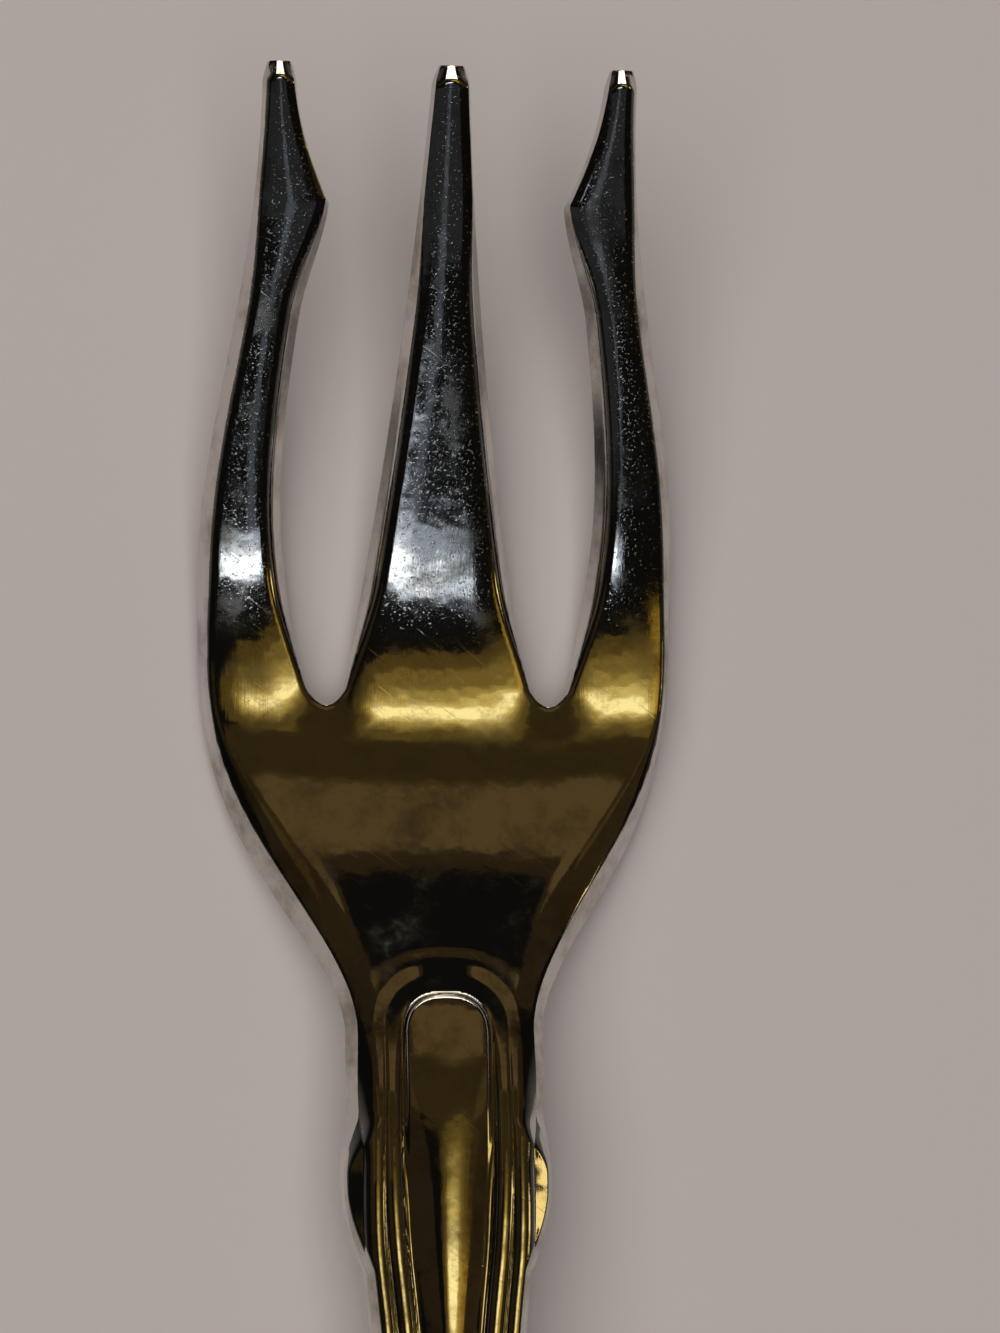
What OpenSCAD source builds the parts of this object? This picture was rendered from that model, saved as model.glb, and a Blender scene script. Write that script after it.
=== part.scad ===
// Cocktail fork with three tines, struck from one strip of steel and polished.
// The outer tines carry a barb on their inner edge. The handle has a raised rib
// between two threads on each side, which meet in an arch at the neck and run
// round the end. All sizes are in millimetres. +Y runs to the tine tips, +Z up,
// and the origin is on the table under the middle of the fork.

/* [Overall] */
// Length from the tine tips to the end of the handle
overall_length = 150; // [130:1:180]
// Width across the outer tines at the widest place
head_width = 18.7; // [17.5:0.1:22]
// Height of the handle's arch over the belly, as a bent line
arch_height = 3.42; // [2.5:0.02:5]
// Slope of the handle where it comes down to the neck
neck_slope = 0.1; // [0:0.01:0.15]
// Rise of straight tines over the belly, as a bent line
tip_rise = 7.4; // [5:0.1:9]
// Rise that the curl of the tines adds at the tips
tip_curl = 1; // [0:0.1:1.5]

/* [Tines] */
// Length of the tines, from the round ends of the slots to the tips
tine_length = 24; // [21:0.1:30]
// Width over the two outer tips
tip_spread = 14.5; // [13:0.1:16]
// Width of an outer tine at its tip
outer_tip_width = 1.26; // [0.9:0.02:1.6]
// Width of the centre tine at its tip
centre_tip_width = 1.4; // [0.9:0.02:1.7]
// Distance of the barbs from the tips
barb_from_tip = 5; // [4:0.1:7]
// Width of an outer tine over its barb
barb_width = 2.9; // [2.3:0.05:3.4]
// Distance of the throats, below the barbs, from the tips
throat_from_tip = 9; // [8:0.1:12]
// Width of an outer tine at its throat
throat_width = 2.45; // [1.8:0.05:2.8]
// Width of an outer tine at the round end of its slot
outer_root_width = 4.2; // [3.6:0.05:4.7]
// Width of the centre tine at the round ends of the slots
centre_root_width = 7.5; // [6.5:0.1:8]
// Length of the rounded end of a slot
slot_end_length = 0.8; // [0.6:0.1:1.6]
// Width of the rounded edges of the tines
tine_edge = 0.65; // [0.3:0.05:0.8]
// Length of the rounded nose on a tip
nose_length = 0.8; // [0.3:0.1:1]

/* [Root and neck] */
// Distance of the widest place from the round ends of the slots
widest_from_slot = 5.6; // [3:0.1:7]
// Distance of the neck from the round ends of the slots
neck_from_slot = 12.8; // [11:0.1:16]
// Width of the neck
neck_width = 7.6; // [7:0.1:9]
// Width of the rounded edge of the root beside the slots
root_edge = 0.6; // [0.4:0.05:0.9]
// Width of the rounded shoulders above the neck
shoulder_edge = 2.1; // [1.2:0.05:2.6]
// Radius of the struck arch where the relief of the handle meets the root
arch_radius = 2.6; // [2.1:0.02:2.8]
// Depth of the struck trough inside the arch
arch_bank = 0.07; // [0.02:0.01:0.15]
// Distance from the arch to the cut between root and neck
arch_reach = 1.3; // [1:0.1:2]

/* [Handle] */
// Width of the slender part of the handle
stem_width = 5.4; // [4.9:0.1:6.4]
// Width of the end of the handle
end_width = 10.4; // [8:0.1:13]
// Length of the round end of the handle
end_round = 6.5; // [5:0.1:9]
// Length over which the neck narrows to the stem
neck_taper = 15; // [12:0.5:20]
// Length over which the stem widens to the end
end_taper = 56; // [40:1:65]
// Distance of the side lobes from the neck
lobe_from_neck = 6.2; // [5:0.1:7.5]
// Length of a side lobe
lobe_length = 5.8; // [4:0.1:7]
// Reach of a side lobe beyond the edge of the handle
lobe_reach = 0.5; // [0.2:0.05:0.9]
// Slope at which a side lobe falls away outwards
lobe_fall = 0.5; // [0:0.01:0.6]
// Distance of the outer thread from the edge of the stem
thread_inset = 0.56; // [0.45:0.02:0.7]
// Half the width of a thread
thread_half = 0.37; // [0.3:0.01:0.4]
// Height of a thread along the handle
thread_height = 0.28; // [0.1:0.01:0.35]
// Height of a thread where it comes out of the arch
thread_start = 0.1; // [0.04:0.01:0.2]
// Length over which the threads grow to their full height
thread_growth = 7; // [5:0.5:9]
// Distance between the outer and the inner thread
thread_pitch = 0.7; // [0.62:0.01:0.75]
// Distance from the inner thread to the rib
rib_gap = 0.42; // [0.28:0.01:0.45]
// Height of the rib
rib_height = 0.3; // [0.2:0.05:0.6]
// Fall of the rib's top from its middle to its edge, at its end in the arch
rib_end_crown = 0.12; // [0:0.01:0.2]
// Fall of the rib's top from its middle to its edge, along the handle
rib_crown = 0.38; // [0.2:0.02:0.6]
// Width of the rib's edge at its steep end in the arch
rib_end_bevel = 0.16; // [0.08:0.01:0.3]
// Width of the rib's edge along the handle
rib_bevel = 0.3; // [0.2:0.02:0.5]
// Width of the rounded edge of the handle
handle_edge = 0.6; // [0.4:0.05:0.8]
// Length of the handle that lies flat on the table
rest_length = 22; // [14:1:30]
// Depth of the flat on the back of the end
rest_flat = 0.04; // [0.02:0.01:0.1]

/* [Thickness] */
// Thickness of the tines at their tips
tip_thickness = 1; // [0.7:0.05:1.4]
// Thickness of the root
root_thickness = 1.9; // [1.5:0.05:2.5]
// Thickness of the neck without the relief
neck_thickness = 2.4; // [1.8:0.05:3]
// Thickness of the stem without the relief
stem_thickness = 2.1; // [1.6:0.05:2.8]
// Thickness of the end of the handle without the relief
end_thickness = 1.5; // [1.2:0.05:2.2]

/* [Hidden] */

// Colour of the polished steel
steel = [0.78, 0.77, 0.75];

// Shapes of the curves
back_share = 0.3;      // part of the thickness behind the widest line of a section
tine_ease = 1.22;      // how late the outer edge of the tines swings out
shoulder_ease = 1.87;  // how late the shoulders turn in towards the neck
barb_sweep = 1.9;      // how hollow the edge is between tip and barb
flare_ease = 1.47;     // how late an outer tine widens towards its root
arch_power = 2.5;      // squareness of the struck arch
bank_from = 0.5;       // distance from the axis at which the trough in the arch starts
bank_ease = 1.2;       // width over which that trough deepens
nose_share = 0.3;      // part of a tine's section left at its blunt tip

// Stations along the fork, measured from the round ends of the slots, plus towards the tips
slot_y = overall_length / 2 - tine_length;
neck_at = -neck_from_slot;
arch_at = neck_at - 0.2;
end_at = tine_length - overall_length;
end_centre = end_at + end_round;
widening_at = end_centre + end_taper;
narrowing_at = neck_at - 1;
stem_at = narrowing_at - neck_taper;
lobe_at = neck_at - lobe_from_neck;
threads_at = lobe_at - lobe_length / 2;
root_neck_cut = arch_at + arch_radius + arch_reach;
neck_stem_cut = lobe_at - lobe_length / 2 - 0.5;
stem_end_cut = end_at + rest_length + 6;

// Bends of the side view: where each starts and how long it is
rest_bend = [end_at + rest_length, 22];
arch_bend = [neck_at - 49.2, 54];
crest_bend = [neck_at - 4.4, 7.5];
belly_bend = [-11.2, 20];
curl_bend = [4, 20.5];

function middle(bend) = bend[0] + bend[1] / 2;
crown_height = arch_height + neck_slope * (middle(crest_bend) - middle(arch_bend));
handle_slope = crown_height / (middle(arch_bend) - middle(rest_bend));
root_slope = arch_height / (middle(belly_bend) - middle(crest_bend));
tine_slope = tip_rise / (tine_length - middle(belly_bend));

function clamp(x) = min(1, max(0, x));
function mix(a, b, t) = a + (b - a) * t;
function ease(t) = let (c = clamp(t)) c * c * (3 - 2 * c);
function join(a, at_a, b, at_b, v) = mix(a, b, ease((v - at_a) / (at_b - at_a)));
function round_edge(t) = let (c = 1 - clamp(t)) sqrt(1 - c * c);
function arc(t) = max(0, 1 - t * t);
function dome(t) = pow(arc(t), 0.55);

// Height gained along a bend whose slope grows smoothly from nothing to one
function bent(bend, v) =
    let (t = (v - bend[0]) / bend[1])
    bend[1] * (t <= 0 ? 0 : t >= 1 ? t - 0.5 : pow(t, 3) - pow(t, 4) / 2);

// The straight lines of the side view, joined by bends
function bent_line(v) =
    handle_slope * bent(rest_bend, v)
    - (handle_slope + neck_slope) * bent(arch_bend, v)
    - (root_slope - neck_slope) * bent(crest_bend, v)
    + (root_slope + tine_slope) * bent(belly_bend, v)
    + tip_curl * bent(curl_bend, v) / bent(curl_bend, tine_length);
belly_low = min([for (v = [-12 : 0.05 : 10]) bent_line(v)]);

// Height of the middle of the back over the table, with the belly set down on it, before the flat is cut
function back_z(v) = bent_line(v) + join(-rest_flat, rest_bend[0], -belly_low, crest_bend[0], v);

function thickness(v) =
    v >= 0 ? join(root_thickness, 0, tip_thickness, tine_length, v)
    : v >= neck_at ? join(root_thickness, 0, neck_thickness, neck_at, v)
    : v >= stem_at ? join(neck_thickness, neck_at, stem_thickness, stem_at, v)
    : join(stem_thickness, widening_at, end_thickness, end_centre, v);

// Width of the rounded edge along the outside of the fork
function edge_width(v) =
    v >= 0 ? join(root_edge, 0, tine_edge, 4 * root_edge, v)
    : v >= root_neck_cut ? mix(root_edge, shoulder_edge, pow(v / root_neck_cut, 2))
    : join(shoulder_edge, root_neck_cut, handle_edge, lobe_at, v);

// Outer edge of the head, from the tips to the neck
function head_half(v) =
    let (
        up = clamp((tine_length - v) / (tine_length - widest_from_slot)),
        down = clamp((widest_from_slot - v) / (widest_from_slot - neck_at))
    )
    v >= widest_from_slot
    ? mix(tip_spread, head_width, ease(pow(up, tine_ease))) / 2
    : mix(head_width, neck_width, ease(pow(down, shoulder_ease))) / 2;

// Edge of the handle without its lobes
function handle_half(v) =
    v < end_centre ? end_width / 2 * sqrt(max(0, 1 - pow((end_centre - v) / end_round, 2)))
    : v < widening_at ? join(end_width, end_centre, stem_width, widening_at, v) / 2
    : join(neck_width, narrowing_at, stem_width, stem_at, v) / 2;
function lobe(v) = arc(2 * (v - lobe_at) / lobe_length);
function body_half(v) = v >= neck_at ? head_half(v) : handle_half(v) + lobe_reach * lobe(v);

// Width of an outer tine, from its tip to its root
function outer_tine_width(v) =
    let (d = tine_length - v)
    d < barb_from_tip ? mix(outer_tip_width, barb_width, pow(d / barb_from_tip, barb_sweep))
    : d < throat_from_tip ? join(barb_width, barb_from_tip, throat_width, throat_from_tip, d)
    : mix(throat_width, outer_root_width,
        pow((d - throat_from_tip) / (tine_length - throat_from_tip), flare_ease));

function centre_half(v) =
    let (t = clamp((tine_length - v) / tine_length))
    mix(centre_tip_width, centre_root_width, (t + t * t) / 2) / 2;

// The two edges of the right slot: the one of the centre tine first
function slot_edges(v) =
    let (
        inner = centre_half(v),
        outer = head_half(v) - outer_tine_width(v),
        open = round_edge(v / slot_end_length) / 2
    )
    [mix(inner, outer, 0.5 - open), mix(inner, outer, 0.5 + open)];

// Relief of the handle, by the distance of a point from the handle's axis, round the arch and the end too
function thread_line(v) =
    handle_half(v) - join(neck_width / 2 - arch_radius, narrowing_at, thread_inset, threads_at, v);
function from_axis(x, v) =
    v > arch_at ? pow(pow(abs(x), arch_power) + pow(v - arch_at, arch_power), 1 / arch_power)
    : v < end_centre ? norm([x, (end_centre - v) * end_width / 2 / end_round])
    : abs(x);
function relief(x, v) =
    let (
        line = thread_line(min(max(v, end_centre), narrowing_at)),
        reach = from_axis(x, v),
        spread = join(0.66, narrowing_at, 1.05, threads_at, v),
        rib_half = line - join(0.85, narrowing_at, 1.05, threads_at, v) * (thread_pitch + rib_gap),
        grown = ease((arch_at - v) / thread_growth),
        outer = dome((reach - line) / thread_half),
        inner = dome((reach - line + spread * thread_pitch) / thread_half),
        sunk = clamp((line - reach) / 0.48 + 0.5) * ease((abs(x) - bank_from) / bank_ease),
        bank = arch_bank * sunk * (1 - grown),
        rise = mix(thread_start, thread_height, grown) * ease((arch_at + 1.2 - v) / 1.2),
        ground = rise * max(outer, inner) - bank,
        from_middle = clamp((v > arch_at ? abs(x) : reach) / rib_half),
        rib_top = rib_height - mix(rib_end_crown, rib_crown, grown) * pow(from_middle, 2),
        t = clamp((rib_half - reach) / mix(rib_end_bevel, rib_bevel, grown)),
        fall = lobe_fall * max(abs(x) - line - thread_half, 0) * sqrt(lobe(v))
    )
    mix(ground, rib_top, 1 - pow(1 - t, 2)) - fall;

// Points across the fork between two edges: place, and fullness of the section there
edge_steps = 5;
function across(left, right, round_left, round_right, middle_steps) =
    let (
        room = (right - left) / 2,
        a = min(round_left, 0.98 * room),
        b = min(round_right, 0.98 * room)
    )
    concat(
        [for (i = [0 : edge_steps])
            [left + a * (1 - cos(90 * i / edge_steps)), sin(90 * i / edge_steps)]],
        [for (i = [1 : middle_steps - 1])
            [mix(left + a, right - b, i / middle_steps), 1]],
        [for (i = [edge_steps : -1 : 0])
            [right - b * (1 - cos(90 * i / edge_steps)), sin(90 * i / edge_steps)]]
    );

// A closed ring at one station: the front from left to right, then the back from right to left
function ring(v, section, fullness, struck) =
    let (
        line = back_z(v) + back_share * thickness(v),
        front = (1 - back_share) * thickness(v),
        behind = back_share * thickness(v),
        last = len(section) - 1
    )
    concat(
        [for (p = section)
            [p[0], slot_y + v, line + fullness * p[1] * (front + (struck ? relief(p[0], v) : 0))]],
        [for (i = [last - 1 : -1 : 1])
            [section[i][0], slot_y + v, line - fullness * section[i][1] * behind]]
    );

// A solid through rings that run from the handle towards the tips, each with n points on its front
module loft(rings, n) {
    m = len(rings[0]);
    last = len(rings) - 1;
    // Place in its ring of the back point behind front point i
    function behind(i) = i == 0 || i == n - 1 ? i : m - i;
    function cap(base, turn) =
        [for (i = [0 : n - 2], half = [0, 1])
            let (
                a = base + i,
                b = base + i + 1,
                c = base + behind(i + 1),
                d = base + behind(i),
                f = half == 0 ? [a, b, c] : [a, c, d]
            )
            if (f[0] != f[2] && f[1] != f[2]) turn ? [f[2], f[1], f[0]] : f];
    sides = [for (j = [0 : last - 1], i = [0 : m - 1], half = [0, 1])
        let (a = j * m + i, b = j * m + (i + 1) % m, c = a + m, d = b + m)
        half == 0 ? [a, c, b] : [b, c, d]];
    polyhedron(
        points = [for (r = rings) each r],
        faces = concat(sides, cap(0, false), cap(last * m, true))
    );
}

// Stations between two places, crowded towards the first by the power
function stations(from, to, steps, power) = [for (i = [0 : steps]) mix(from, to, pow(i / steps, power))];

// Stations along a tine, dense at the round end of the slot, about the barb and on the nose
throat_at = tine_length - throat_from_tip;
barb_at = tine_length - barb_from_tip;
nose_at = tine_length - nose_length;
tine_places = concat(
    stations(0, slot_end_length, 6, 2),
    [for (i = [1 : 10]) mix(slot_end_length, throat_at, i / 10)],
    [for (i = [1 : 5]) mix(throat_at, barb_at, i / 5)],
    [for (i = [1 : 6]) mix(barb_at, nose_at, i / 6)],
    [for (i = [1 : 6]) mix(nose_at, tine_length, i / 6)]
);

// Fullness of a tine near its blunt tip, and the rounding beside a slot, which starts sharp
function nose(v) = mix(nose_share, 1, 1 - pow(1 - clamp((tine_length - v) / nose_length), 1.3));
function slot_round(v) = max(0.02, tine_edge * ease(v / (3 * slot_end_length)));

// A tine between two edges, given as functions of the station
tine_steps = 4;
module tine(left_at, right_at, slot_on_left, slot_on_right) {
    rings = [for (v = tine_places)
        let (
            centre = (left_at(v) + right_at(v)) / 2,
            half = (right_at(v) - left_at(v)) / 2 * mix(1, nose(v), 0.4),
            round_left = slot_on_left ? slot_round(v) : edge_width(v),
            round_right = slot_on_right ? slot_round(v) : edge_width(v)
        )
        ring(v, across(centre - half, centre + half, round_left, round_right, tine_steps), nose(v), false)];
    loft(rings, 2 * edge_steps + tine_steps + 1);
}

module left_tine() {
    color(steel) tine(function (v) -head_half(v), function (v) -slot_edges(v)[1], false, true);
}

module centre_tine() {
    color(steel) tine(function (v) -slot_edges(v)[0], function (v) slot_edges(v)[0], true, true);
}

module right_tine() {
    color(steel) tine(function (v) slot_edges(v)[1], function (v) head_half(v), true, false);
}

// A length of the fork over its full width
function end_fullness(v) = max(0.25, round_edge((v - end_at) / handle_edge));
module full_width(places, middle_steps, struck) {
    rings = [for (v = places)
        let (half = max(0.3, body_half(v)))
        ring(v, across(-half, half, edge_width(v), edge_width(v), middle_steps), end_fullness(v), struck)];
    loft(rings, 2 * edge_steps + middle_steps + 1);
}

module root() {
    color(steel) full_width(stations(root_neck_cut, 0, 14, 1), 12, false);
}

module neck() {
    color(steel) full_width(stations(neck_stem_cut, root_neck_cut, 32, 1), 34, true);
}

module handle_stem() {
    color(steel) full_width(stations(stem_end_cut, neck_stem_cut, 18, 1), 34, true);
}

module handle_end() {
    color(steel) difference() {
        full_width(concat(
            [for (i = [0 : 12]) end_centre - end_round * cos(90 * i / 13)],
            stations(end_centre, stem_end_cut, 10, 1)), 34, true);
        translate([-end_width, slot_y + end_at - 1, -1])
            cube([2 * end_width, rest_length + 8, 1]);
    }
}

left_tine();
centre_tine();
right_tine();
root();
neck();
handle_stem();
handle_end();
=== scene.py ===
import bpy
import numpy as np
from mathutils import Matrix, Vector


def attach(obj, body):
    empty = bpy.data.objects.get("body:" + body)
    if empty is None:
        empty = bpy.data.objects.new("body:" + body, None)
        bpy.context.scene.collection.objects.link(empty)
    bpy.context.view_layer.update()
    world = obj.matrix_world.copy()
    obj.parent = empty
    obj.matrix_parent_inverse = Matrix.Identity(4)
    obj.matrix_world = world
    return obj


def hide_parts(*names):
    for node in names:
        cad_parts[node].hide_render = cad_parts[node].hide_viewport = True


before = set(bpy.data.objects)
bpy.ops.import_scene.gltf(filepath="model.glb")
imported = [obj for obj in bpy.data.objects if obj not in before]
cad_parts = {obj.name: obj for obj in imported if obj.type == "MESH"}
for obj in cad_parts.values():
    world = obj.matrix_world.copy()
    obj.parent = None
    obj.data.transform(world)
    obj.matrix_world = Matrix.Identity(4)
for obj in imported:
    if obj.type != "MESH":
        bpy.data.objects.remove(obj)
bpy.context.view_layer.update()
print("frame loaded:", len(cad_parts), "nodes")

mm = 0.001  # shapes are worked out in millimetres, meshes are in metres


# small curves the shapes are built from, all on whole arrays
def clamp(t):
    return np.clip(t, 0.0, 1.0)


def mix(a, b, t):
    return a + (b - a) * t


def ease(t):  # 3t² - 2t³, level at both ends
    t = clamp(t)
    return t * t * (3 - 2 * t)


def join(a, atA, b, atB, v):  # eased way from a at one station to b at another
    return mix(a, b, ease((v - atA) / (atB - atA)))


def through(stations, values, v):  # eased way through a few values, each at its station
    at, value = np.array(stations), np.array(values)
    i = np.clip(np.searchsorted(at, v) - 1, 0, len(at) - 2)
    return join(value[i], at[i], value[i + 1], at[i + 1], v)


def roundEdge(t):  # quarter circle, sqrt(1 - (1 - t)²)
    c = 1 - clamp(t)
    return np.sqrt(1 - c * c)


def dome(t):  # (1 - t²) to the power 0.4, flatter than half a circle
    return clamp(1 - t * t) ** 0.4


def bent(bend, v):  # height gained along a bend whose slope eases from nothing to one
    t = (v - bend[0]) / bend[1]
    return bend[1] * np.where(t <= 0, 0.0, np.where(t >= 1, t - 0.5, t ** 3 - t ** 4 / 2))


# the strip that the fork is struck from, as seen from the side
strip = {
    "length": 150.0, "tineLength": 24.0, "neckFromSlot": 12.8,
    "archHeight": 3.42, "neckSlope": 0.1, "tipRise": 7.39, "tipCurl": 1.0,
    "restLength": 22.0, "restFlat": 0.04,
    "bellyBow": 0.45, "bowHalf": 7.5, "bowRise": (-9.0, 6.0), "bowFall": (4.0, 10.0),
    "tipThick": 0.95, "rootThick": 1.9, "neckThick": 2.4, "stemThick": 2.1, "endThick": 1.5,
}
# stations v run along the fork from the round ends of the slots, plus towards the tips
tipAt = strip["tineLength"]
slotY = strip["length"] / 2 - tipAt
neckAt = -strip["neckFromSlot"]
endAt = tipAt - strip["length"]
# bends of the side view, each with its start and its length
restBend = (endAt + strip["restLength"], 22.0)
archBend = (neckAt - 49.2, 54.0)
crestBend = (neckAt - 4.4, 7.5)
bellyBend = (-11.2, 20.0)
curlBend = (4.0, 20.5)


def middle(bend):
    return bend[0] + bend[1] / 2


def bentLine(v):  # straight lines of the side view, joined by eased bends
    neckSlope = strip["neckSlope"]
    rootSlope = strip["archHeight"] / (middle(bellyBend) - middle(crestBend))
    crown = strip["archHeight"] + neckSlope * (middle(crestBend) - middle(archBend))
    handleSlope = crown / (middle(archBend) - middle(restBend))
    tineSlope = strip["tipRise"] / (tipAt - middle(bellyBend))
    return (handleSlope * bent(restBend, v) - (handleSlope + neckSlope) * bent(archBend, v)
            - (rootSlope - neckSlope) * bent(crestBend, v) + (rootSlope + tineSlope) * bent(bellyBend, v)
            + strip["tipCurl"] * bent(curlBend, v) / bent(curlBend, tipAt))


bellyLow = bentLine(np.linspace(-12, 10, 441)).min()  # the belly is set down on the table


def backHeight(v):
    return bentLine(v) + join(-strip["restFlat"], restBend[0], -bellyLow, crestBend[0], v)


# the handle: outline, lobes and the struck relief
handle = {
    "neckWidth": 7.6, "stemWidth": 5.4, "endWidth": 10.4, "endRound": 6.5,
    "neckTaper": 15.0, "endTaper": 56.0, "archFromNeck": 0.2, "taperFromNeck": 1.0,
    "lobeFromNeck": 6.2, "lobeLength": 5.8, "lobeReach": 0.5, "lobeFall": 0.5,
    "archRadius": 2.6, "archPower": 2.5, "archReach": 1.0, "archArc": 0.028, "arcEase": (0.7, 2.5),
    "archBank": 0.07, "bankWidth": 0.48, "bankFrom": 0.5, "bankEase": 1.2,
    "threadInset": 0.56, "threadHalf": 0.37, "threadFoot": (1.0, 0.5),
    "threadPitch": 0.7, "threadSpread": (0.66, 1.05),
    "threadHeight": (0.20, 0.25), "threadGrowth": 7.0, "threadRise": (1.5, 4.0),
    "ribGap": 0.42, "ribSpread": (0.85, 1.05), "ribHeight": 0.3, "ribCrown": (0.12, 0.38),
    "ribEndBevel": 0.16, "ribBevel": 0.3,
    "rootCutGap": 0.3, "stemCutGap": 0.5, "endCutGap": 6.0,
}
archAt = neckAt - handle["archFromNeck"]
narrowingAt = neckAt - handle["taperFromNeck"]
stemAt = narrowingAt - handle["neckTaper"]
endCentre = endAt + handle["endRound"]
wideningAt = endCentre + handle["endTaper"]
lobeAt = neckAt - handle["lobeFromNeck"]
threadsAt = lobeAt - handle["lobeLength"] / 2
# the cuts between root, neck, stem and end
rootNeckCut = archAt + handle["archRadius"] + handle["archReach"] + handle["rootCutGap"]
neckStemCut = threadsAt - handle["stemCutGap"]
stemEndCut = endAt + strip["restLength"] + handle["endCutGap"]


def thickness(v):
    tine = join(strip["rootThick"], 0, strip["tipThick"], tipAt, v)
    rootThick = join(strip["rootThick"], 0, strip["neckThick"], neckAt, v)
    neckThick = join(strip["neckThick"], neckAt, strip["stemThick"], stemAt, v)
    stemThick = join(strip["stemThick"], wideningAt, strip["endThick"], endCentre, v)
    struck = np.where(v >= stemAt, neckThick, stemThick)
    return np.where(v >= 0, tine, np.where(v >= neckAt, rootThick, struck))


def handleHalf(v):  # half an ellipse at the end, then two eased tapers
    fall = clamp(1 - ((endCentre - v) / handle["endRound"]) ** 2)
    end = handle["endWidth"] / 2 * np.sqrt(fall)
    stem = join(handle["endWidth"], endCentre, handle["stemWidth"], wideningAt, v) / 2
    neck = join(handle["neckWidth"], narrowingAt, handle["stemWidth"], stemAt, v) / 2
    return np.where(v < endCentre, end, np.where(v < wideningAt, stem, neck))


def lobe(v):  # an arc, 1 - t²
    return clamp(1 - (2 * (v - lobeAt) / handle["lobeLength"]) ** 2)


def taper(pair, until, v):  # eased way from the top of the neck to a station further down
    return join(pair[0], narrowingAt, pair[1], until, v)


# relief by the distance from the handle's axis, which runs round the arch and the end too: a trough round
# the rib, whose flat end has steep sides and which grows round along the handle, two threads beside it that
# rise out of the trough, a bank inside the arch, a faint arc outside it, and the lobes that fall away
def relief(x, v):
    power = handle["archPower"]
    arch = (np.abs(x) ** power + np.maximum(v - archAt, 0) ** power) ** (1 / power)
    end = np.hypot(x, np.maximum(endCentre - v, 0) * handle["endWidth"] / 2 / handle["endRound"])
    reach = np.where(v > archAt, arch, np.where(v < endCentre, end, np.abs(x)))
    at = np.clip(v, endCentre, narrowingAt)
    inset = taper((handle["neckWidth"] / 2 - handle["archRadius"], handle["threadInset"]), threadsAt, at)
    line = handleHalf(at) - inset
    spread = taper(handle["threadSpread"], threadsAt, v)
    ribHalf = line - taper(handle["ribSpread"], threadsAt, v) * (handle["threadPitch"] + handle["ribGap"])
    q = ease((archAt - v) / handle["threadGrowth"])  # nothing in the arch, one along the handle
    half = handle["threadHalf"]
    aside = ease((np.abs(x) - handle["bankFrom"]) / handle["bankEase"])
    bank = handle["archBank"] * clamp((line - reach) / handle["bankWidth"] + 0.5) * (1 - q) * aside
    inArc = ease((line + handle["archReach"] - reach) / handle["arcEase"][0])
    arc = handle["archArc"] * inArc * ease((v - archAt) / handle["arcEase"][1])
    foot = taper(handle["threadFoot"], lobeAt + 1, v)
    across = (reach - line) / np.where(reach > line, foot, half)
    outer = np.where(across > 0, clamp(1 - across * across), dome(across))
    threads = np.maximum(outer, dome((reach - line + spread * handle["threadPitch"]) / half))
    above, long = handle["threadRise"]
    rise = mix(*handle["threadHeight"], q) * ease((archAt + above - v) / long)
    ground = rise * threads - bank - arc
    t = clamp((ribHalf - reach) / mix(handle["ribEndBevel"], handle["ribBevel"], q))
    fromMiddle = clamp(np.where(v > archAt, np.abs(x), reach) / ribHalf)
    ribTop = handle["ribHeight"] - mix(*handle["ribCrown"], q) * fromMiddle ** 2
    fall = handle["lobeFall"] * np.maximum(np.abs(x) - line - foot, 0) * np.sqrt(lobe(v))
    return mix(ground, ribTop, 1 - (1 - t) ** 2) - fall


# the head: three tines with barbs on the outer two, and the root they grow from
head = {
    "width": 18.7, "widestFromSlot": 5.6, "shoulderEase": 1.87, "tineEase": 1.22,
    "tipSpread": 14.5, "outerTip": 1.26, "centreTip": 1.4, "outerRoot": 4.2, "centreRoot": 7.5,
    "barbFromTip": 5.0, "barbWidth": 2.9, "barbSweep": 1.9, "throatFromTip": 9.0, "throatWidth": 2.45,
    "flareEase": 1.47, "slotEnd": 0.8,
    "noseLength": 0.65, "noseShare": 0.3, "noseSides": 0.25, "noseFall": 1.05,
    "noseTaper": 1.3, "nosePlan": 0.4,
}
# edges of the sections by station: share of the thickness behind the widest line, width of the steep wall
# in front of it, the wall's share of the height, width of the rounding that levels out inside it, and the
# width of the rounding behind; the same for the slots, and the fall that buffing leaves towards each edge
edges = {
    "at": (threadsAt, lobeAt, lobeAt + 0.8, lobeAt + 3.4, neckAt, -7.0, 0.0, 8.0, 15.0, 20.0),
    "low": (0.30, 0.42, 0.45, 0.60, 0.60, 0.30, 0.30, 0.30, 0.30, 0.30),
    "wall": (0.05, 0.08, 0.10, 0.35, 0.42, 0.60, 0.20, 0.32, 0.34, 0.10),
    "share": (0.75, 0.88, 0.88, 0.62, 0.70, 0.74, 0.85, 0.75, 0.70, 0.70),
    "round": (0.40, 0.18, 0.20, 1.20, 1.30, 1.60, 0.30, 0.45, 0.45, 0.40),
    "behind": (0.60, 0.60, 0.60, 0.90, 1.40, 1.80, 0.60, 0.65, 0.65, 0.65),
    "slotAt": (0.0, 5.0, 15.0, 20.0), "slotWall": (0.01, 0.33, 0.34, 0.10),
    "slotShare": (0.975, 0.70, 0.72, 0.88), "slotRound": (0.25, 0.50, 0.50, 0.40), "slotBehind": 0.60,
    "buffFall": 0.10, "buffReach": 1.6, "buffFade": 4.0, "mostOfRoom": 0.98, "mostForWall": 0.4,
}


def headHalf(v):
    widest = head["widestFromSlot"]
    up = clamp((tipAt - v) / (tipAt - widest)) ** head["tineEase"]
    down = clamp((widest - v) / (widest - neckAt)) ** head["shoulderEase"]
    above = mix(head["tipSpread"], head["width"], ease(up)) / 2
    below = mix(head["width"], handle["neckWidth"], ease(down)) / 2
    return np.where(v >= widest, above, below)


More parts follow.
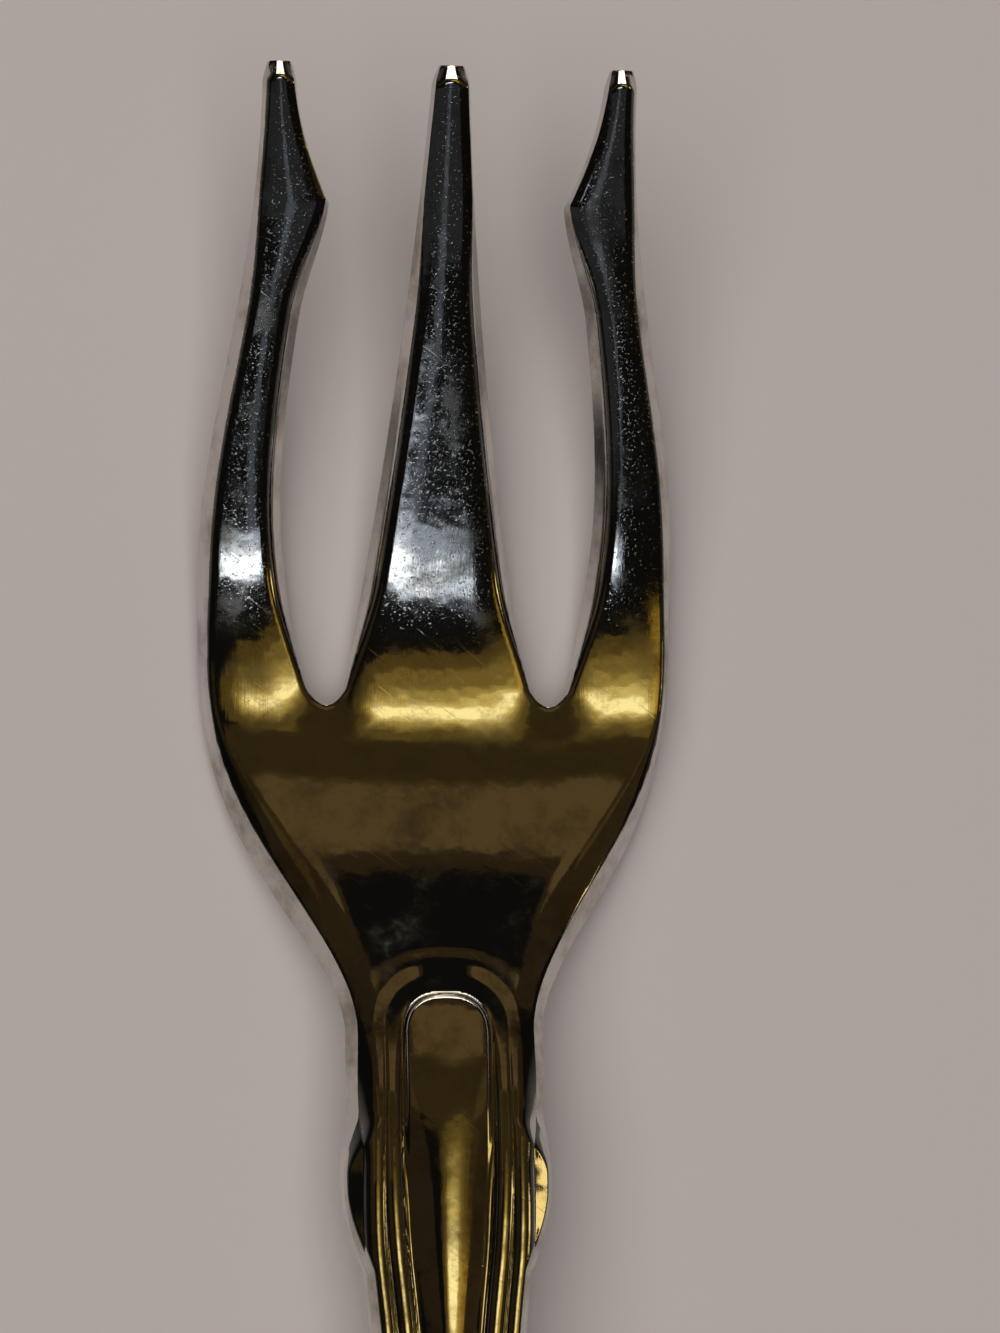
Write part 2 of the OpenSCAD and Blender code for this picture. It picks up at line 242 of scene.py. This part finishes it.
def outerTineWidth(v):  # hollow from tip to barb, eased to the throat, then flaring to the root
    d = np.clip(tipAt - v, 0, tipAt)
    barb, throat = head["barbFromTip"], head["throatFromTip"]
    toBarb = mix(head["outerTip"], head["barbWidth"], clamp(d / barb) ** head["barbSweep"])
    toThroat = join(head["barbWidth"], barb, head["throatWidth"], throat, d)
    flare = clamp((d - throat) / (tipAt - throat)) ** head["flareEase"]
    toRoot = mix(head["throatWidth"], head["outerRoot"], flare)
    return np.where(d < barb, toBarb, np.where(d < throat, toThroat, toRoot))


def centreHalf(v):
    t = clamp((tipAt - v) / tipAt)
    return mix(head["centreTip"], head["centreRoot"], (t + t * t) / 2) / 2


def slotEdges(v):  # the two edges of the right slot; below its round end they run on as one seam
    inner, outer = centreHalf(v), headHalf(v) - outerTineWidth(v)
    opened = roundEdge(v / head["slotEnd"]) / 2
    zero = np.zeros(1)
    seam = (centreHalf(zero) + headHalf(zero) - outerTineWidth(zero)) / 2 * headHalf(v) / headHalf(zero)
    return (np.where(v < 0, seam, mix(inner, outer, 0.5 - opened)),
            np.where(v < 0, seam, mix(inner, outer, 0.5 + opened)))


def bodyHalf(v):
    return np.where(v >= neckAt, headHalf(v), handleHalf(v) + handle["lobeReach"] * lobe(v))


# outlines of the right half as fine lines: the outside from the handle's end to the tip, and the slot
turn = np.linspace(0, np.pi / 2, 160)
outsideV = np.concatenate([endCentre - handle["endRound"] * np.cos(turn),
                           np.linspace(endCentre, tipAt + 0.5, 2400)[1:]])
outsideX = bodyHalf(outsideV)
slotRise = np.concatenate([head["slotEnd"] * np.linspace(0, 1, 60) ** 2,
                           np.linspace(head["slotEnd"], tipAt - head["barbFromTip"], 300)[1:],
                           np.linspace(tipAt - head["barbFromTip"], tipAt + 0.5, 120)[1:]])
slotIn, slotOut = slotEdges(slotRise)
slotV = np.concatenate([slotRise[::-1], slotRise[1:]])
slotX = np.concatenate([slotIn[::-1], slotOut[1:]])


# distance of grid points to a line: the foot on each of its short pieces, the nearest one kept
def distance(x, v, lineX, lineV):
    out = np.full(x.shape, 9.0)
    aX, aV = lineX[:-1], lineV[:-1]
    bX, bV = np.diff(lineX), np.diff(lineV)
    long = np.maximum(bX * bX + bV * bV, 1e-12)
    for row in range(x.shape[0]):
        near = (aV > v[row].min() - 3) & (aV < v[row].max() + 3)
        if near.any():
            gapX, gapV = x[row][:, None] - aX[near], v[row][:, None] - aV[near]
            t = clamp((gapX * bX[near] + gapV * bV[near]) / long[near])
            out[row] = np.hypot(gapX - t * bX[near], gapV - t * bV[near]).min(1)
    return out


# height share of a section's front at a distance from its edge: up a straight wall, then levelling out
def frontShare(d, wall, share, width):
    return share * clamp(d / wall) + (1 - share) * (1 - (1 - clamp((d - wall) / width)) ** 2)


# front and back share along the outside, no wider than the room there
def outsideShares(d, v, room):
    wall, share, width, behind = (through(edges["at"], edges[key], v)
                                  for key in ("wall", "share", "round", "behind"))
    most = edges["mostOfRoom"] * room
    return (frontShare(d, wall, share, np.minimum(width, most - wall)),
            roundEdge(d / np.minimum(behind, most)))


def slotShares(d, v, room):
    wall, share, width = (through(edges["slotAt"], edges[key], v)
                          for key in ("slotWall", "slotShare", "slotRound"))
    most = edges["mostOfRoom"] * room
    wall = np.minimum(wall, edges["mostForWall"] * room)
    return (frontShare(d, wall, share, np.minimum(width, most - wall)),
            roundEdge(d / np.minimum(edges["slotBehind"], most)))


# the belly is bowed across: a parabola that eases in behind the slots and out along the tines
def bellyBow(x, v):
    rise, fall = strip["bowRise"], strip["bowFall"]
    along = ease((v - rise[0]) / rise[1]) * (1 - ease((v - fall[0]) / fall[1]))
    return strip["bellyBow"] * (x / strip["bowHalf"]) ** 2 * along


# front and back of a grid of places (x, v): the widest line with the rounded thickness above and below it
def sheets(x, v, shares, struck, placeX=None):
    thick, low = thickness(v), through(edges["at"], edges["low"], v)
    line = backHeight(v - bellyBow(x, v)) + low * thick
    front = line + shares[0] * ((1 - low) * thick + struck)
    back = np.maximum(line - shares[1] * low * thick, 0)
    px = x if placeX is None else placeX
    return np.stack([px, slotY + v, front], -1), np.stack([px, slotY + v, back], -1)


def gridNormals(points):  # cross product of the steps across and along the grid
    n = np.cross(np.gradient(points, axis=1), np.gradient(points, axis=0))
    return n / np.maximum(np.linalg.norm(n, axis=-1, keepdims=True), 1e-15)


# a closed piece from a front and a back grid that meet along both sides, with flat caps at both ends
# the first and last rows of the grids only serve the normals, so that neighbours shade as one surface
def addPiece(name, node, front, back, pinch=(), pole=False):
    nFront, nBack = gridNormals(front), -gridNormals(back)
    first = 0 if pole else 1
    front, back, nFront, nBack = (a[first:-1] for a in (front, back, nFront, nBack))
    rows, cols = front.shape[:2]
    top = np.arange(rows * cols).reshape(rows, cols)
    low = top + rows * cols
    for side in (0, -1):
        meet = nFront[:, side] + nBack[:, side]
        nFront[:, side] = meet / np.maximum(np.linalg.norm(meet, axis=-1, keepdims=True), 1e-15)
        low[:, side] = top[:, side]
    for col in pinch:  # the round end of a slot lies in the last row
        low[-1, col] = top[-1, col]
    if pole:
        top[0], low[0] = top[0, 0], top[0, 0]
        nFront[0] = (0, -1, 0)

    def cells(grid):
        return np.stack([grid[:-1, :-1], grid[:-1, 1:], grid[1:, 1:], grid[1:, :-1]], -1).reshape(-1, 4)

    def cap(row):
        return np.stack([top[row, :-1], low[row, :-1], low[row, 1:], top[row, 1:]], -1)

    skin = np.concatenate([cells(top), cells(low)[:, ::-1]])
    caps = np.concatenate([cap(0), cap(-1)[:, ::-1]])
    capWay = np.repeat([[0, -1, 0], [0, 1, 0]], cols - 1, axis=0)
    faces, loopNormals = [], []
    points = np.concatenate([front.reshape(-1, 3), back.reshape(-1, 3)])
    normals = np.concatenate([nFront.reshape(-1, 3), nBack.reshape(-1, 3)])
    used = np.unique(np.concatenate([skin, caps]))
    place = np.zeros(len(points), int)
    place[used] = np.arange(len(used))
    for quads, way in ((skin, None), (caps, capWay)):
        same = quads == np.roll(quads, -1, axis=1)  # pinched corners make a quad a triangle
        for count in (0, 1):
            pick = same.sum(1) == count
            flat = quads[pick][~same[pick]].reshape(-1, 4 - count)
            faces += place[flat].tolist()
            loopNormals.append(normals[flat].reshape(-1, 3) if way is None
                               else np.repeat(way[pick], 4 - count, axis=0))
    mesh = bpy.data.meshes.new(name)
    mesh.from_pydata((points[used] * mm).tolist(), [], faces)
    mesh.polygons.foreach_set("use_smooth", np.ones(len(faces), bool))
    mesh.normals_split_custom_set(np.concatenate(loopNormals))
    mesh.materials.append(steel)
    piece = bpy.data.objects.new(name, mesh)
    bpy.context.scene.collection.objects.link(piece)
    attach(piece, "root")
    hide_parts(node)
    print(name, len(faces), "faces")


def linear(code):  # sRGB hex to linear colour
    c = np.array([int(code[i:i + 2], 16) for i in (1, 3, 5)]) / 255
    return tuple(np.where(c <= 0.04045, c / 12.92, ((c + 0.055) / 1.055) ** 2.4)) + (1.0,)


def addNode(tree, kind, settings=None, links=None):
    node = tree.nodes.new(kind)
    for key, value in (settings or {}).items():
        if key in node.inputs:
            node.inputs[key].default_value = value
        else:
            setattr(node, key, value)
    for key, source in (links or {}).items():
        tree.links.new(source, node.inputs[key])
    return node


# polished 18/10 stainless steel, struck and buffed: a dark mirror of the room with hair lines along the
# fork, fine pits, a few slanting scratches and dull finger marks; cell sizes and depths in millimetres
steelLook = {
    "clean": "#CFCCC7", "tarnished": "#857D71", "tarnishFrom": (0.47, 0.74),
    "roughness": (0.05, 0.20), "dullFrom": (0.45, 0.75),
    "smudge": (2.4, 2.4, 2.4), "smudgeDetail": 8.0, "smudgeGrain": 0.72,
    "waves": {"size": (1.4, 1.4, 1.4), "turn": 0.0, "keep": (0.3, 0.7), "depth": 0.003},
    "hair": {"size": (0.09, 9.0, 0.09), "turn": 0.0, "keep": (0.2, 0.8), "depth": 0.0004},
    "pits": {"size": (0.11, 0.11, 0.11), "turn": 0.0, "keep": (0.60, 0.78), "depth": 0.004,
             "along": (2.0, 10.0, 0.08)},
    "scratches": {"size": (0.10, 3.0, 1.0), "turn": 0.9, "keep": (0.64, 0.78), "depth": 0.0005},
}
steel = bpy.data.materials.new("polishedStainlessSteel")
steel.use_nodes = True
tree = steel.node_tree
shader = tree.nodes["Principled BSDF"]
shader.inputs["Metallic"].default_value = 1.0
place = addNode(tree, "ShaderNodeTexCoord").outputs["Object"]
smudgeLay = addNode(tree, "ShaderNodeMapping", {
    "vector_type": "TEXTURE", "Scale": [c * mm for c in steelLook["smudge"]]}, {"Vector": place})
smudge = addNode(tree, "ShaderNodeTexNoise", {
    "Scale": 1.0, "Detail": steelLook["smudgeDetail"], "Roughness": steelLook["smudgeGrain"]},
    {"Vector": smudgeLay.outputs[0]})
dull = addNode(tree, "ShaderNodeMapRange", {
    "interpolation_type": "SMOOTHSTEP",
    "From Min": steelLook["dullFrom"][0], "From Max": steelLook["dullFrom"][1],
    "To Min": steelLook["roughness"][0], "To Max": steelLook["roughness"][1]},
    {"Value": smudge.outputs["Fac"]})
tree.links.new(dull.outputs[0], shader.inputs["Roughness"])
tarnish = addNode(tree, "ShaderNodeValToRGB", links={"Fac": smudge.outputs["Fac"]})
for stop, at, key in zip(tarnish.color_ramp.elements, steelLook["tarnishFrom"], ("clean", "tarnished")):
    stop.position, stop.color = at, linear(steelLook[key])
tree.links.new(tarnish.outputs["Color"], shader.inputs["Base Color"])
along = addNode(tree, "ShaderNodeSeparateXYZ", links={"Vector": place}).outputs["Y"]
worn = {}
for layer in (steelLook[key] for key in ("waves", "hair", "pits", "scratches")):
    lay = addNode(tree, "ShaderNodeMapping", {
        "vector_type": "TEXTURE", "Rotation": (0, 0, layer["turn"]),
        "Scale": [c * mm for c in layer["size"]]}, {"Vector": place})
    noise = addNode(tree, "ShaderNodeTexNoise", {"Scale": 1.0, "Detail": 2.0}, {"Vector": lay.outputs[0]})
    kept = addNode(tree, "ShaderNodeMapRange", {
        "interpolation_type": "SMOOTHSTEP", "From Min": layer["keep"][0], "From Max": layer["keep"][1]},
        {"Value": noise.outputs["Fac"]})
    bump = addNode(tree, "ShaderNodeBump", {"Distance": layer["depth"] * mm},
                   {"Height": kept.outputs[0], **worn})
    if "along" in layer:  # weak before the first station, full from the second
        first, second, weak = layer["along"]
        strength = addNode(tree, "ShaderNodeMapRange", {
            "From Min": (slotY + first) * mm, "From Max": (slotY + second) * mm, "To Min": weak},
            {"Value": along})
        tree.links.new(strength.outputs[0], bump.inputs["Strength"])
    worn = {"Normal": bump.outputs[0]}
tree.links.new(worn["Normal"], shader.inputs["Normal"])
print("steel ready")


# how many rows and columns the grids have, and where their rows crowd
gridCounts = {
    "handleColumns": 261, "endRows": (101, 45), "stemRows": 120, "neckRows": (75, 70), "neckDense": 0.4,
    "outerColumns": 48, "centreColumns": 60, "rootRows": 76, "rootCrowd": 1.6,
    "tineRows": (26, 56, 24, 30, 14), "ghostGap": 0.02, "tipGap": 0.001,
}


# handle: columns crowd to both edges as a sine, rows are dense where the relief turns
def addHandlePiece(name, node, stations, pole=False):
    v, u = np.meshgrid(stations, np.linspace(-1, 1, gridCounts["handleColumns"]), indexing="ij")
    x = np.sin(np.pi / 2 * u) * bodyHalf(v)
    d = distance(np.abs(x), v, outsideX, outsideV)
    d[:, [0, -1]] = 0
    front, back = sheets(x, v, outsideShares(d, v, 9.0), relief(x, v))
    addPiece(name, node, front, back, pole=pole)


def withGhosts(stations):  # a row more at both ends, which addPiece takes off again
    gap = gridCounts["ghostGap"]
    return np.concatenate([[stations[0] - gap], stations, [stations[-1] + gap]])


endTurn = np.linspace(0, np.pi / 2, gridCounts["endRows"][0])
endRows = np.concatenate([endCentre - handle["endRound"] * np.cos(endTurn),
                          np.linspace(endCentre, stemEndCut, gridCounts["endRows"][1])[1:]])
endStations = np.append(endRows, stemEndCut + gridCounts["ghostGap"])  # the pole has no row before it
addHandlePiece("handleEnd", "handle_end", endStations, pole=True)
stemRows = np.linspace(stemEndCut, neckStemCut, gridCounts["stemRows"])
addHandlePiece("handleStem", "handle_stem", withGhosts(stemRows))
denseFrom = archAt - gridCounts["neckDense"]
neckRows = np.concatenate([np.linspace(neckStemCut, denseFrom, gridCounts["neckRows"][0]),
                           np.linspace(denseFrom, rootNeckCut, gridCounts["neckRows"][1])[1:]])
addHandlePiece("neckWithArch", "neck", withGhosts(neckRows))


# head: three lanes of columns, crowded to the lane edges; the slots part them above v = 0
def laneColumns(count):
    return (1 - np.cos(np.linspace(0, np.pi, count))) / 2


def lanePlaces(stations, lane):  # lane -1 left, 0 centre, 1 right
    columns = laneColumns(gridCounts["outerColumns" if lane else "centreColumns"])
    v, u = np.meshgrid(stations, columns, indexing="ij")
    inner, outer = slotEdges(v)
    half = headHalf(v)
    left = (-half, -inner, outer)[lane + 1]
    right = (-outer, inner, half)[lane + 1]
    return mix(left, right, u), v, (left + right) / 2, (right - left) / 2


# the outside's share times the slots' share, and the gentle fall that buffing leaves towards both edges
def headShares(x, v, room):
    toOutside, toSlot = distance(np.abs(x), v, outsideX, outsideV), distance(np.abs(x), v, slotX, slotV)
    outside, slot = outsideShares(toOutside, v, room), slotShares(toSlot, v, room)
    reach = np.minimum(edges["buffReach"], room)
    fade = ease((v - rootNeckCut) / edges["buffFade"])
    fall = (1 - clamp(toSlot / reach)) ** 2 + (1 - clamp(toOutside / reach)) ** 2 * fade
    return [a * b for a, b in zip(outside, slot)], -edges["buffFall"] * fall


rootRows = np.linspace(1, 0, gridCounts["rootRows"]) ** gridCounts["rootCrowd"] * rootNeckCut
rootStations = withGhosts(rootRows)
lanes = [lanePlaces(rootStations, lane) for lane in (-1, 0, 1)]
rootX = np.concatenate([lanes[0][0], lanes[1][0][:, 1:], lanes[2][0][:, 1:]], 1)
rootV = np.repeat(rootStations[:, None], rootX.shape[1], 1)
seams = (lanes[0][0].shape[1] - 1, lanes[0][0].shape[1] + lanes[1][0].shape[1] - 2)
rootShares, rootFall = headShares(rootX, rootV, 9.0)
for share in rootShares:
    share[:, [0, -1]] = 0
    share[-2, list(seams)] = 0
addPiece("forkRoot", "root", *sheets(rootX, rootV, rootShares, rootFall), pinch=seams)

barbAt, throatAt = tipAt - head["barbFromTip"], tipAt - head["throatFromTip"]
endCount, throatCount, barbCount, shankCount, noseCount = gridCounts["tineRows"]
noseAt = tipAt - head["noseLength"]
noseTurn = np.sin(np.linspace(0, np.pi / 2, noseCount))
tineRows = np.concatenate([head["slotEnd"] * np.linspace(0, 1, endCount) ** 2,
                           np.linspace(head["slotEnd"], throatAt, throatCount)[1:],
                           np.linspace(throatAt, barbAt, barbCount)[1:],
                           np.linspace(barbAt, noseAt, shankCount)[1:],
                           tipAt - head["noseLength"] * (1 - noseTurn)[1:]])
tineStations = np.concatenate([[-gridCounts["ghostGap"]], tineRows, [tipAt + gridCounts["tipGap"]]])
for lane, name, node in ((-1, "leftTine", "left_tine"), (0, "centreTine", "centre_tine"),
                         (1, "rightTine", "right_tine")):
    x, v, axis, room = lanePlaces(tineStations, lane)
    toNose = (tipAt - v - head["noseSides"] * ((x - axis) / room) ** 2) / head["noseLength"]
    nose = mix(head["noseShare"], 1, 1 - (1 - clamp(toNose)) ** head["noseFall"])
    shares, fall = headShares(x, v, room)
    for share in shares:
        share[:, [0, -1]] = 0
        share *= nose
    fromTip = clamp((tipAt - v) / head["noseLength"])
    narrowed = mix(head["noseShare"], 1, 1 - (1 - fromTip) ** head["noseTaper"])
    front, back = sheets(x, v, shares, fall, axis + (x - axis) * mix(1, narrowed, head["nosePlan"]))
    addPiece(name, node, front, back)


# plain pale floor
floorLook = {"colour": "#B2A8A3", "size": 3.0, "roughness": 0.95}
floorPaint = bpy.data.materials.new("paleMattFloor")
floorPaint.use_nodes = True
floorShader = floorPaint.node_tree.nodes["Principled BSDF"]
floorShader.inputs["Base Color"].default_value = linear(floorLook["colour"])
floorShader.inputs["Roughness"].default_value = floorLook["roughness"]
floorMesh = bpy.data.meshes.new("floor")
s = floorLook["size"] / 2
floorMesh.from_pydata([(-s, -s, 0), (s, -s, 0), (s, s, 0), (-s, s, 0)], [], [(0, 1, 2, 3)])
floorMesh.materials.append(floorPaint)
floor = bpy.data.objects.new("floor", floorMesh)
bpy.context.scene.collection.objects.link(floor)
print("floor laid")


# soft boxes, placed by the angles to the right and towards the tips from straight above the root
# all but the first are only seen in the steel, so that they don't change the floor
boxHang = {"height": 1.0, "step": 0.004}
boxes = {
    "fill": {"x": (-48, 20), "y": (-36, 36), "light": 2.5, "colour": "#FFFFFF", "mirrored": False},
    "warmFoot": {"x": (-25, 30), "y": (8, 20), "light": 0.035, "colour": "#FFD060"},
    "warm": {"x": (-6, 28), "y": (-6.2, 10), "light": 0.09, "colour": "#FFCF5A", "shape": "ELLIPSE"},
    "warmSecond": {"x": (-2, 24), "y": (-4, 8), "light": 0.13, "colour": "#FFD968", "shape": "ELLIPSE"},
    "warmThird": {"x": (0, 20), "y": (-1.4, 6.8), "light": 0.22, "colour": "#FFDC6C", "shape": "ELLIPSE"},
    "warmInner": {"x": (1, 18), "y": (0, 5.6), "light": 0.35, "colour": "#FFE98C", "shape": "ELLIPSE"},
    "warmCore": {"x": (2, 17), "y": (1.4, 4.4), "light": 0.8, "colour": "#FFF7BC", "shape": "ELLIPSE"},
    "warmSide": {"x": (18, 32), "y": (-9, 3.5), "light": 0.3, "colour": "#FFC845"},
    "brown": {"x": (-40, 52), "y": (19, 34), "light": 0.025, "colour": "#FFCB70"},
    "brownMiddle": {"x": (-8, 22), "y": (20, 31.5), "light": 0.08, "colour": "#FFD080"},
    "warmEdge": {"x": (55.5, 66), "y": (1, 10.6), "light": 1.5, "colour": "#FFE08A"},
    "brownLeft": {"x": (-46, -14), "y": (-2, 19), "light": 0.02, "colour": "#FFCB70"},
    "brownRight": {"x": (24, 58), "y": (-8, 19), "light": 0.03, "colour": "#FFCB70"},
    "coolStreak": {"x": (2, 5.5), "y": (-32, -14), "light": 0.09, "colour": "#DCEBFF"},
    "cool": {"x": (-4, 8), "y": (-16.2, -11.2), "light": 0.5, "colour": "#DCEBFF"},
    "coolCore": {"x": (-5, 7.8), "y": (-14, -11.6), "light": 0.8, "colour": "#E8F4FF"},
    "coolSpot": {"x": (-8, 5.5), "y": (-14.2, -11.8), "light": 2.0, "colour": "#F0F8FF"},
    "coolLeft": {"x": (-12, 4), "y": (-15.8, -13), "light": 0.4, "colour": "#E6F0FF"},
    "blue": {"x": (-60, 20), "y": (-45, -20), "light": 0.035, "colour": "#C4CAD8"},
    "low": {"x": (-70, 70), "y": (-80, -56), "light": 0.3, "colour": "#F4F1EC"},
    "far": {"x": (-30, 34), "y": (46, 74), "light": 3.0, "colour": "#FFF4E0"},
}
target = Vector((0, slotY * mm, 2 * mm))
for count, (name, box) in enumerate(boxes.items()):
    # each at its own height, so that boxes in front of one another add up
    far = boxHang["height"] - boxHang["step"] * count
    loX, hiX = np.tan(np.radians(box["x"]))
    loY, hiY = np.tan(np.radians(box["y"]))
    lamp = bpy.data.lights.new(name, "AREA")
    lamp.shape = box.get("shape", "RECTANGLE")
    way = Vector(((loX + hiX) / 2, (loY + hiY) / 2, 1)) * far
    lamp.size, lamp.size_y = (hiX - loX) * far, (hiY - loY) * far
    area = lamp.size * lamp.size_y * (np.pi / 4 if lamp.shape == "ELLIPSE" else 1)
    lamp.energy = box["light"] * np.pi * area  # the light seen in the steel is the same for any size
    lamp.color = linear(box["colour"])[:3]
    stand = bpy.data.objects.new(name, lamp)
    stand.location = target + way  # boxes hang level, face down
    mirrored = box.get("mirrored", True)
    stand.visible_glossy = mirrored
    stand.visible_diffuse = not mirrored
    stand.visible_camera = False
    bpy.context.scene.collection.objects.link(stand)

# a dark room overhead with a pale band round the horizon
roomLook = {"overhead": "#100F0D", "horizon": "#5A5754", "paleTo": 0.04, "darkFrom": 0.36}
room = bpy.data.worlds.new("dimRoom")
bpy.context.scene.world = room
room.use_nodes = True
sky = addNode(room.node_tree, "ShaderNodeTexCoord").outputs["Generated"]
height = addNode(room.node_tree, "ShaderNodeSeparateXYZ", links={"Vector": sky}).outputs["Z"]
band = addNode(room.node_tree, "ShaderNodeValToRGB", links={"Fac": height})
for stop, level, colour in zip(band.color_ramp.elements, ("paleTo", "darkFrom"), ("horizon", "overhead")):
    stop.position, stop.color = roomLook[level], linear(roomLook[colour])
room.node_tree.links.new(band.outputs["Color"], room.node_tree.nodes["Background"].inputs["Color"])
print("lights hung:", len(boxes))


# camera above the fork, a little to the left and towards the handle
# distance, millimetres to a pixel, rows of the picture, sensor, turns in degrees, shifts in millimetres
view = {"far": 160.0, "scale": 0.0391, "rows": 1333, "sensor": 36,
        "tiltX": 7.09, "tiltY": 8.0, "roll": -0.367,
        "shiftX": -2.461, "shiftY": -1.56, "height": 1.5}
tx, ty, ro = np.radians((view["tiltX"], view["tiltY"], view["roll"]))
right = Vector((np.cos(ro) * np.cos(tx), np.sin(ro) * np.cos(tx), np.sin(tx)))
up = Vector((-np.sin(ro) * np.cos(ty) - np.cos(ro) * np.sin(tx) * np.sin(ty),
             np.cos(ro) * np.cos(ty) - np.sin(ro) * np.sin(tx) * np.sin(ty), np.cos(tx) * np.sin(ty)))
back = right.cross(up)
eye = Vector((0, slotY, view["height"])) - view["shiftX"] * right - view["shiftY"] * up + view["far"] * back
camera = bpy.data.cameras.new("camera")
camera.sensor_width = view["sensor"]
camera.lens = view["far"] / view["scale"] / view["rows"] * view["sensor"]
camera.clip_start = 0.001
cameraObject = bpy.data.objects.new("camera", camera)
cameraObject.matrix_world = Matrix.Translation(eye * mm) @ Matrix((right, up, back)).transposed().to_4x4()
bpy.context.scene.collection.objects.link(cameraObject)
bpy.context.scene.camera = cameraObject
bpy.context.scene.view_settings.view_transform = "Standard"
